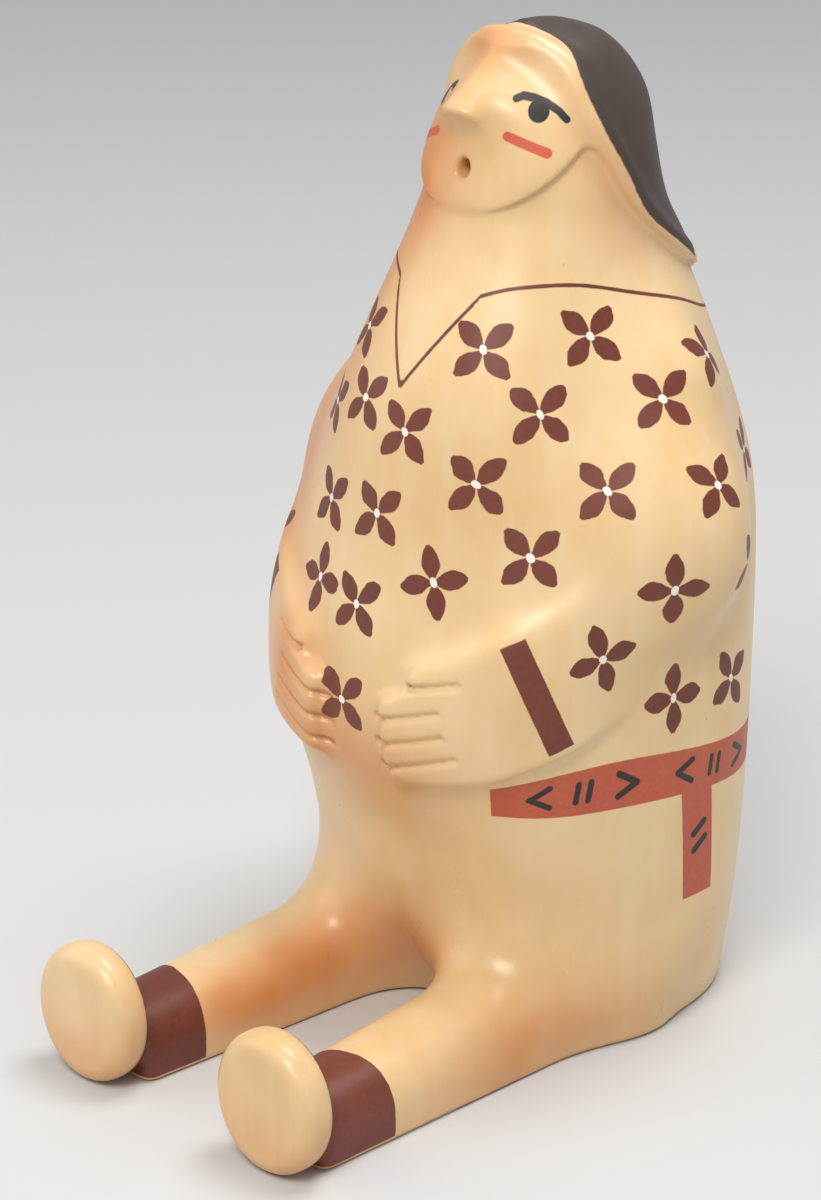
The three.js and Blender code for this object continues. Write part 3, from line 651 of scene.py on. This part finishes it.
def belt_coordinates(points):
    """Place along the belt in millimetres from its start, and across it from 0 to 1"""
    angle = round_angle(points)
    folded = folded_angle(points)
    steps = np.linspace(0, 360, 721)
    ring = np.stack([np.sin(np.radians(steps)), -np.cos(np.radians(steps))], 1)
    front = smooth_curve(ROBE_HEIGHTS, ROBE_FRONT, BELT_HEIGHT)
    back = smooth_curve(ROBE_HEIGHTS, ROBE_BACK, BELT_HEIGHT)
    half_width = smooth_curve(ROBE_HEIGHTS, ROBE_HALF_WIDTH, BELT_HEIGHT)
    part_x = (np.abs(ring[:, 0]) / half_width) ** ROBE_SQUARENESS
    part_y = (np.abs(ring[:, 1]) / np.where(ring[:, 1] < 0, front, back)) ** ROBE_SQUARENESS
    radius = (part_x + part_y) ** (-1 / ROBE_SQUARENESS)
    path = ring * radius[:, None]
    walked = np.concatenate([[0], np.cumsum(np.linalg.norm(np.diff(path, axis=0), axis=1))])
    start = np.interp(BELT_START, steps, walked)
    along = np.interp(angle, steps, walked) - start
    bottom = smooth_curve(BELT_ANGLES, BELT_BOTTOM, folded)
    top = smooth_curve(BELT_ANGLES, BELT_TOP, folded)
    across = (points[:, 2] - bottom) / (top - bottom)
    across[folded < 20] = 9
    total = walked[-1] - 2 * start
    return along, across, total


class Wire:
    """A number running through the shader: arithmetic on it adds Math nodes"""

    tree = None

    def __init__(self, socket):
        self.socket = socket

    @classmethod
    def math(cls, operation, *inputs, clamp=False):
        node = cls.tree.nodes.new("ShaderNodeMath")
        node.operation = operation
        node.use_clamp = clamp
        for slot, value in zip(node.inputs, inputs):
            if isinstance(value, Wire):
                cls.tree.links.new(value.socket, slot)
            else:
                slot.default_value = value
        return cls(node.outputs[0])

    def __add__(self, other):
        return Wire.math("ADD", self, other)

    def __radd__(self, other):
        return Wire.math("ADD", other, self)

    def __sub__(self, other):
        return Wire.math("SUBTRACT", self, other)

    def __rsub__(self, other):
        return Wire.math("SUBTRACT", other, self)

    def __mul__(self, other):
        return Wire.math("MULTIPLY", self, other)

    def __neg__(self):
        return Wire.math("MULTIPLY", self, -1.0)

    def __pow__(self, power):
        return Wire.math("POWER", self, power)


def absolute(wire):
    return Wire.math("ABSOLUTE", wire)


def smaller(a, *more):
    for b in more:
        a = Wire.math("MINIMUM", a, b)
    return a


def larger(a, *more):
    for b in more:
        a = Wire.math("MAXIMUM", a, b)
    return a


def limited(wire):
    return Wire.math("ADD", wire, 0.0, clamp=True)


def root(wire):
    return Wire.math("SQRT", wire)


def reach(a, b):
    return root(a * a + b * b)


def covered(gap, soft=0.12):
    """1 where the gap is negative, 0 where it is positive, with a soft edge"""
    return limited(0.5 - gap * (0.5 / soft))


def stroke(u, v, start, end, radius):
    """Distance to a brush stroke from start to end"""
    run = (end[0] - start[0], end[1] - start[1])
    total = run[0] ** 2 + run[1] ** 2
    du = u - start[0]
    dv = v - start[1]
    along = limited((du * run[0] + dv * run[1]) * (1 / total))
    return reach(du - along * run[0], dv - along * run[1]) - radius


def box_gap(u, v, half_u, half_v):
    return larger(absolute(u) - half_u, absolute(v) - half_v)


def attribute(name, vector=False):
    node = Wire.tree.nodes.new("ShaderNodeAttribute")
    node.attribute_name = name
    if not vector:
        return Wire(node.outputs["Fac"])
    parts = Wire.tree.nodes.new("ShaderNodeSeparateXYZ")
    Wire.tree.links.new(node.outputs["Vector"], parts.inputs[0])
    return [Wire(socket) for socket in parts.outputs]


def vector_of(x, y, z):
    node = Wire.tree.nodes.new("ShaderNodeCombineXYZ")
    for slot, value in zip(node.inputs, (x, y, z)):
        if isinstance(value, Wire):
            Wire.tree.links.new(value.socket, slot)
        else:
            slot.default_value = value
    return node.outputs[0]


def noise(place, scale, detail=2.0, roughness=0.5):
    """Noise from about -0.5 to 0.5 at a place, a vector socket"""
    node = Wire.tree.nodes.new("ShaderNodeTexNoise")
    node.inputs["Scale"].default_value = scale
    node.inputs["Detail"].default_value = detail
    node.inputs["Roughness"].default_value = roughness
    Wire.tree.links.new(place, node.inputs["Vector"])
    return Wire(node.outputs[0]) - 0.5


def mixed(factor, base, over):
    """The base colour with another laid over it; colours are tuples or sockets"""
    node = Wire.tree.nodes.new("ShaderNodeMix")
    node.data_type = "RGBA"
    Wire.tree.links.new(factor.socket, node.inputs[0])
    for slot, colour in ((node.inputs[6], base), (node.inputs[7], over)):
        if isinstance(colour, tuple):
            slot.default_value = (*colour, 1)
        else:
            Wire.tree.links.new(colour, slot)
    return node.outputs[2]


def linear(red, green, blue):
    """A colour given in 0 to 255 screen values, as light"""
    parts = [channel / 255 for channel in (red, green, blue)]
    return tuple(c / 12.92 if c <= 0.04045 else ((c + 0.055) / 1.055) ** 2.4 for c in parts)


CREAM = linear(234, 201, 150)
CREAM_PALE = linear(243, 220, 180)
CREAM_TAN = linear(215, 173, 116)
AMBER = linear(212, 122, 56)
SPECK = linear(120, 78, 50)
BROWN = linear(100, 44, 30)
BROWN_PALE = linear(124, 62, 46)
TERRACOTTA = linear(180, 76, 46)
TERRACOTTA_PALE = linear(200, 100, 70)
BLACK_SLIP = linear(42, 34, 34)
HAIR_SLIP = linear(62, 47, 40)
HAIR_SLIP_PALE = linear(78, 64, 58)
SALMON = linear(206, 92, 68)
WHITE_SLIP = linear(245, 235, 222)

# Amber on the clay, partly firing blush and partly painted shade (the far side, under the hands, between the
# legs, the neck and the jaw): centre, radii and strength, on both sides where mirrored
BLUSHES_AND_SHADE = [
    {"at": (-15, -66, 13), "size": (9, 34, 13), "strength": 0.95},
    {"at": (0, -44, 14), "size": (14, 10, 14), "strength": 0.8},
    {"at": (44, -48, 8), "size": (14, 26, 12), "strength": 0.6},
    {"at": (0, -62, 66), "size": (26, 12, 16), "strength": 0.5},
    {"at": (-24, -58, 84), "size": (12, 10, 20), "strength": 0.65},
    {"at": (-42, -28, 110), "size": (18, 24, 50), "strength": 0.7},
    {"at": (-24, -26, 162), "size": (12, 16, 28), "strength": 0.55},
    {"at": (-13, -26, 196), "size": (12, 12, 24), "strength": 0.65},
    {"at": (-6, -14, 222), "size": (18, 8, 7), "strength": 0.45},
    {"at": (26, 4, 188), "size": (5, 14, 18), "strength": 0.35},
    {"at": (20, -6, 205), "size": (7, 8, 20), "strength": 0.3},
    {"at": (29, -112, 4), "size": (22, 14, 9), "strength": 0.4},
    {"at": (-29, -112, 4), "size": (22, 14, 9), "strength": 0.5},
    {"at": (0, 46, 90), "size": (40, 18, 70), "strength": 0.3},
]


# Amber amount at each point: firing blush and painted shade together
def blush_and_shade_amount(points):
    clear = np.ones(len(points))
    for spot in BLUSHES_AND_SHADE:
        offset = (points - np.array(spot["at"])) / np.array(spot["size"])
        clear *= 1 - spot["strength"] * np.exp(-(offset**2).sum(1))
    return 1 - clear


def flower_marks(wobble):
    """Four leaf-shaped petals and a white dot, laid out by the flower attribute"""
    u, v, number = attribute("flower", vector=True)
    petal_wobble = noise(vector_of(u, v, number * 7.3), 0.33, 2.0)
    u = u + petal_wobble * 1.1
    v = v + noise(vector_of(v, u, number * 3.1), 0.3, 2.0) * 1.1
    along = larger(absolute(u), absolute(v))
    beside = smaller(absolute(u), absolute(v))
    t = limited(along * (1 / PETAL_LENGTH))
    half = t**1.3 * (1.0 - t) ** 1.1 * (PETAL_HALF_WIDTH * 5.23) + 0.2
    petals = covered(larger(beside - half, along - PETAL_LENGTH * 0.97) + wobble * 0.25)
    dot = covered(reach(u * 1.25, v) - DOT_RADIUS + wobble * 0.3)
    return petals, dot


def belt_marks(x, y, z, wobble, belt_total):
    """The belt, the sash end that hangs from it on the left side, and their black marks"""
    along, across, _ = attribute("belt", vector=True)
    gap = larger(absolute(across - 0.5) * BELT_WIDTH - BELT_WIDTH / 2, -along, along - belt_total)
    belt = covered(gap + wobble * 0.5)
    turned = along - BELT_MARKS_START + wobble * 0.8
    group = Wire.math("WRAP", turned, BELT_MARKS_END, BELT_MARKS_BEGIN)
    height = (across - 0.5) * BELT_MARKS_SCALE + wobble * 0.6
    fold = absolute(height)
    marks = smaller(
        stroke(group, fold, (-2.2, 0), (2.2, 2.4), 0.75),
        stroke(group, height, (8.1, -2.0), (8.7, 2.0), 0.68),
        stroke(group, height, (10.9, -2.0), (11.5, 2.0), 0.68),
        stroke(group, fold, (18.0, 2.4), (22.6, 0), 0.75),
    )
    marks = larger(marks, along * -1.0 + 4, along - belt_total + 4, fold - 4.4)

    drop = (SASH_SLANT["from_z"] - z) * (1 / SASH_SLANT["over"])
    across_sash = y - SASH["y"] - drop * SASH_SLANT["back"]
    sash_gap = larger(
        absolute(across_sash) - SASH["half_width"],
        SASH["bottom"] - z,
        z - SASH["top"],
        SASH["inner_x"] - x,
    )
    sash = covered(sash_gap + wobble * 0.5)
    sash_marks = smaller(
        stroke(y, z, (-2.9, 49.6), (0.2, 52.0), 0.95),
        stroke(y, z, (-2.3, 45.4), (0.9, 47.9), 0.95),
    )
    sash_marks = larger(sash_marks, SASH["inner_x"] - x)
    black = larger(covered(marks + wobble * 0.3) * belt, covered(sash_marks + wobble * 0.3) * sash)
    return belt, sash, black


def cuff_mark(side, y, z, wobble):
    """A band across each forearm's outer side"""
    offset = [part - at for part, at in zip((side, y, z), CUFF["at"])]
    along, across = [
        offset[0] * way[0] + offset[1] * way[1] + offset[2] * way[2]
        for way in (CUFF["run"], CUFF["wide"])
    ]
    gap = box_gap(along, across, CUFF["half_length"], CUFF["half_width"])
    return covered(larger(gap, CUFF["inner_x"] - side) + wobble * 0.5)


def moccasin_mark(side, y, z, wobble):
    """A band behind each sole"""
    inward = MOCCASIN["x"] - side
    heel = MOCCASIN["heel"] - inward * 0.18 + absolute(inward) * -0.05
    return covered(larger(y - heel, MOCCASIN["front"] - y, MOCCASIN["low"] - z) + wobble * 0.8)


def face_marks(x, side, y, z, wobble):
    """Eye with its lash and cheek bar, in coordinates round the face and up. The right eye
    sits closer to the nose than the left one, with a shorter lash"""
    face_u = side * FACE_ROUND[0] + y * FACE_ROUND[1]
    on_face = larger(y + 4.0, 190.0 - z)
    right_side = Wire.math("LESS_THAN", x, 0.0)
    eye_u = face_u + right_side * 3.0
    strokes = [
        stroke(eye_u, z, first, second, radius)
        for first, second, radius in zip(LASH_POINTS, LASH_POINTS[1:], LASH_RADII)
    ]
    lash = larger(smaller(*strokes), right_side * (face_u + 5.4) - 5.0)
    pupil = reach(eye_u - PUPIL[0], z - PUPIL[1]) - PUPIL_RADIUS
    eye = covered(larger(smaller(lash, pupil), on_face) + wobble * 0.25)
    cheek_bar = stroke(face_u, z + right_side * 2.0, *CHEEK_ENDS, CHEEK_RADIUS)
    cheek = covered(larger(cheek_bar, on_face) + wobble * 0.35)
    return eye, cheek


def painted_marks(place, x, y, z, belt_total):
    """How much each slip covers the clay, from the painted shapes' distances"""
    wobble = noise(place, 0.55, 3.0) * 0.5
    side = absolute(x)
    petals, dot = flower_marks(wobble)
    belt, sash, black = belt_marks(x, y, z, wobble, belt_total)
    eye, cheek = face_marks(x, side, y, z, wobble)
    return {
        "petals": petals,
        "dot": dot,
        "neckline": covered(absolute(attribute("neckline")) - NECKLINE_HALF_WIDTH + wobble * 0.35),
        "belt": belt,
        "sash": sash,
        "black": black,
        "cuff": cuff_mark(side, y, z, wobble),
        "moccasins": moccasin_mark(side, y, z, wobble),
        "eye": eye,
        "cheek": cheek,
        "hair": covered(attribute("hair") + wobble * 0.9, 0.2),
    }


def clay_material(belt_total, shift_y):
    material = bpy.data.materials.new("burnished_clay")
    material.use_nodes = True
    tree = material.node_tree
    Wire.tree = tree
    shader = tree.nodes["Principled BSDF"]
    coordinates = tree.nodes.new("ShaderNodeTexCoord")
    parts = tree.nodes.new("ShaderNodeSeparateXYZ")
    tree.links.new(coordinates.outputs["Object"], parts.inputs[0])
    x, y, z = [Wire(socket) * 1000.0 for socket in parts.outputs]
    y = y - shift_y
    place = vector_of(x, y, z)

    # The clay: cream slip with vertical burnishing streaks, amber firing blushes mixed with amber painted
    # shade, and dark specks
    streaks = noise(vector_of(x, y, z * 0.06), 0.16, 4.0, 0.6)
    clouds = noise(place, 0.025, 3.0, 0.55)
    fine = noise(place, 0.9, 3.0, 0.6)
    # Amber firing blush and painted shade, broken up by the clouds noise
    blush_and_shade = limited(attribute("blush_and_shade") + attribute("blush_and_shade") * clouds * 1.6)
    tan = limited(0.28 + clouds * 1.5 + streaks * 0.5)
    pale = limited(0.12 + streaks * 1.1 - clouds * 0.6)
    colour = mixed(tan, CREAM, CREAM_TAN)
    colour = mixed(pale, colour, CREAM_PALE)
    colour = mixed(blush_and_shade, colour, AMBER)
    specks = noise(place, 0.42, 1.0, 0.4)
    colour = mixed(limited((specks - 0.32) * 14.0), colour, SPECK)

    marks = painted_marks(place, x, y, z, belt_total)
    brown = larger(marks["petals"], marks["neckline"], marks["cuff"], marks["moccasins"])
    brown_shade = mixed(limited(0.5 + fine * 0.9 + clouds * 1.2), BROWN, BROWN_PALE)
    terracotta_share = limited(0.5 + fine * 0.9 + streaks * 0.9)
    terracotta_shade = mixed(terracotta_share, TERRACOTTA, TERRACOTTA_PALE)
    hair_shade = mixed(limited(0.5 + streaks * 1.2), HAIR_SLIP, HAIR_SLIP_PALE)
    colour = mixed(brown, colour, brown_shade)
    colour = mixed(larger(marks["belt"], marks["sash"]), colour, terracotta_shade)
    colour = mixed(marks["cheek"], colour, SALMON)
    colour = mixed(marks["hair"], colour, hair_shade)
    colour = mixed(marks["dot"], colour, WHITE_SLIP)
    colour = mixed(larger(marks["black"], marks["eye"]), colour, BLACK_SLIP)
    tree.links.new(colour, shader.inputs["Base Color"])

    others = [marks[name] for name in ("belt", "sash", "cheek", "hair", "black", "eye")]
    slip = larger(brown, *others)
    rough = limited(0.31 + streaks * 0.18 + fine * 0.05 + slip * 0.14)
    tree.links.new(rough.socket, shader.inputs["Roughness"])
    shader.inputs["IOR"].default_value = 1.5

    bump = tree.nodes.new("ShaderNodeBump")
    bump.inputs["Strength"].default_value = 0.25
    bump.inputs["Distance"].default_value = 0.0002
    height = streaks * 0.8 + fine * 0.25
    tree.links.new(height.socket, bump.inputs["Height"])
    tree.links.new(bump.outputs[0], shader.inputs["Normal"])
    return material


def figure_object(shift_y):
    points, faces, normals = surface_mesh(figure_distance, (GRID_X, GRID_Y, GRID_Z))
    triangles = shorter_split(points, faces)
    print("figure points", len(points), "triangles", len(triangles))
    mesh = bpy.data.meshes.new("figure_clay")
    placed = (points + np.array([0, shift_y, 0])) * MM
    mesh.from_pydata(placed.tolist(), [], triangles.tolist())
    mesh.polygons.foreach_set("use_smooth", np.ones(len(triangles), bool))

    along, across, belt_total = belt_coordinates(points)
    belt = np.stack([along, across, np.zeros(len(points))], 1)
    paint_edge = smooth_curve(HAIR_PAINT_HEIGHTS, HAIR_PAINT_DEPTH, points[:, 2])
    hair_gap = np.maximum(paint_edge - points[:, 1], HAIR_BOTTOM + 1.6 - points[:, 2])
    single = {
        "neckline": neckline_gap(points),
        "hair": hair_gap,
        # amber firing blush together with painted shade
        "blush_and_shade": blush_and_shade_amount(points),
    }
    for name, values in single.items():
        mesh.attributes.new(name, "FLOAT", "POINT").data.foreach_set("value", values.astype(np.float32))
    layer = mesh.attributes.new("belt", "FLOAT_VECTOR", "POINT")
    layer.data.foreach_set("vector", belt.astype(np.float32).ravel())
    flowers = flower_coordinates(points, triangles, normals)
    layer = mesh.attributes.new("flower", "FLOAT_VECTOR", "CORNER")
    layer.data.foreach_set("vector", flowers.astype(np.float32).ravel())
    mesh.update()
    mesh.normals_split_custom_set_from_vertices(normals.tolist())

    figure = bpy.data.objects.new("figure_clay", mesh)
    bpy.context.scene.collection.objects.link(figure)
    mesh.materials.append(clay_material(belt_total, shift_y))
    return figure


def floor_object():
    mesh = bpy.data.meshes.new("floor")
    reach = 6.0
    corners = [(-reach, -reach, 0), (reach, -reach, 0), (reach, reach, 0), (-reach, reach, 0)]
    mesh.from_pydata(corners, [], [(0, 1, 2, 3)])
    material = bpy.data.materials.new("floor_paper")
    material.use_nodes = True
    shader = material.node_tree.nodes["Principled BSDF"]
    shader.inputs["Base Color"].default_value = (0.62, 0.62, 0.62, 1)
    shader.inputs["Roughness"].default_value = 0.8
    shader.inputs["Specular IOR Level"].default_value = 0.2
    mesh.materials.append(material)
    floor = bpy.data.objects.new("floor", mesh)
    bpy.context.scene.collection.objects.link(floor)
    return floor


# Soft lights: place and aim in the figure's metres, side length, power and colour
LIGHTS = [
    {"name": "key", "at": (0.45, -0.85, 1.25), "size": 0.55, "power": 12, "colour": (1, 0.97, 0.93)},
    {"name": "fill", "at": (-0.9, -0.75, 0.6), "size": 1.0, "power": 3, "colour": (1, 0.97, 0.94)},
    {"name": "top", "at": (0.15, 0.3, 1.3), "size": 0.6, "power": 9, "colour": (1, 0.98, 0.97)},
]
LIGHT_AIM = (0, 0, 0.11)


def add_lights():
    for spec in LIGHTS:
        light = bpy.data.lights.new(spec["name"], "AREA")
        light.shape = "SQUARE"
        light.size = spec["size"]
        light.energy = spec["power"]
        light.color = spec["colour"]
        lamp = bpy.data.objects.new(spec["name"], light)
        lamp.location = spec["at"]
        aim = Vector(LIGHT_AIM) - Vector(spec["at"])
        lamp.rotation_mode = "QUATERNION"
        lamp.rotation_quaternion = aim.to_track_quat("-Z", "Y")
        bpy.context.scene.collection.objects.link(lamp)
    world = bpy.data.worlds.new("studio")
    world.use_nodes = True
    sky = world.node_tree.nodes["Background"]
    sky.inputs["Color"].default_value = (0.95, 0.97, 1, 1)
    sky.inputs["Strength"].default_value = 0.45
    bpy.context.scene.world = world


def add_camera(shift_y):
    lens = bpy.data.cameras.new("camera")
    lens.sensor_fit = "AUTO"
    lens.sensor_width = SENSOR
    lens.lens = CAMERA_FOCAL_PIXELS / PHOTO_SIZE[1] * SENSOR
    lens.clip_start = 0.05
    lens.clip_end = 30
    camera = bpy.data.objects.new("camera", lens)
    x, y, z = CAMERA_PLACE
    camera.location = (x * MM, (y + shift_y) * MM, z * MM)
    camera.rotation_mode = "QUATERNION"
    camera.rotation_quaternion = Vector(CAMERA_FORWARD).to_track_quat("-Z", "Y")
    bpy.context.scene.collection.objects.link(camera)
    bpy.context.scene.camera = camera


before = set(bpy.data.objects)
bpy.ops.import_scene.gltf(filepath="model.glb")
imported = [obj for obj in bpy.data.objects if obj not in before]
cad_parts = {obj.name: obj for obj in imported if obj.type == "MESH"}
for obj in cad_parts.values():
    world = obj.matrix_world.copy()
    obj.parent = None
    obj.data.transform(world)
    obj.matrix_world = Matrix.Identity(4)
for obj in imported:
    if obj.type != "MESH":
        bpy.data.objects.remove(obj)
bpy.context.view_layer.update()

low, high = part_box("seated_figure")
sole_front = SOLE["y"] - SOLE["half_thickness"]
shift_y = low.y / MM - sole_front

figure = figure_object(shift_y)
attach(figure, "root")
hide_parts("seated_figure")

floor = floor_object()
add_lights()
add_camera(shift_y)
bpy.context.scene.view_settings.view_transform = "Standard"
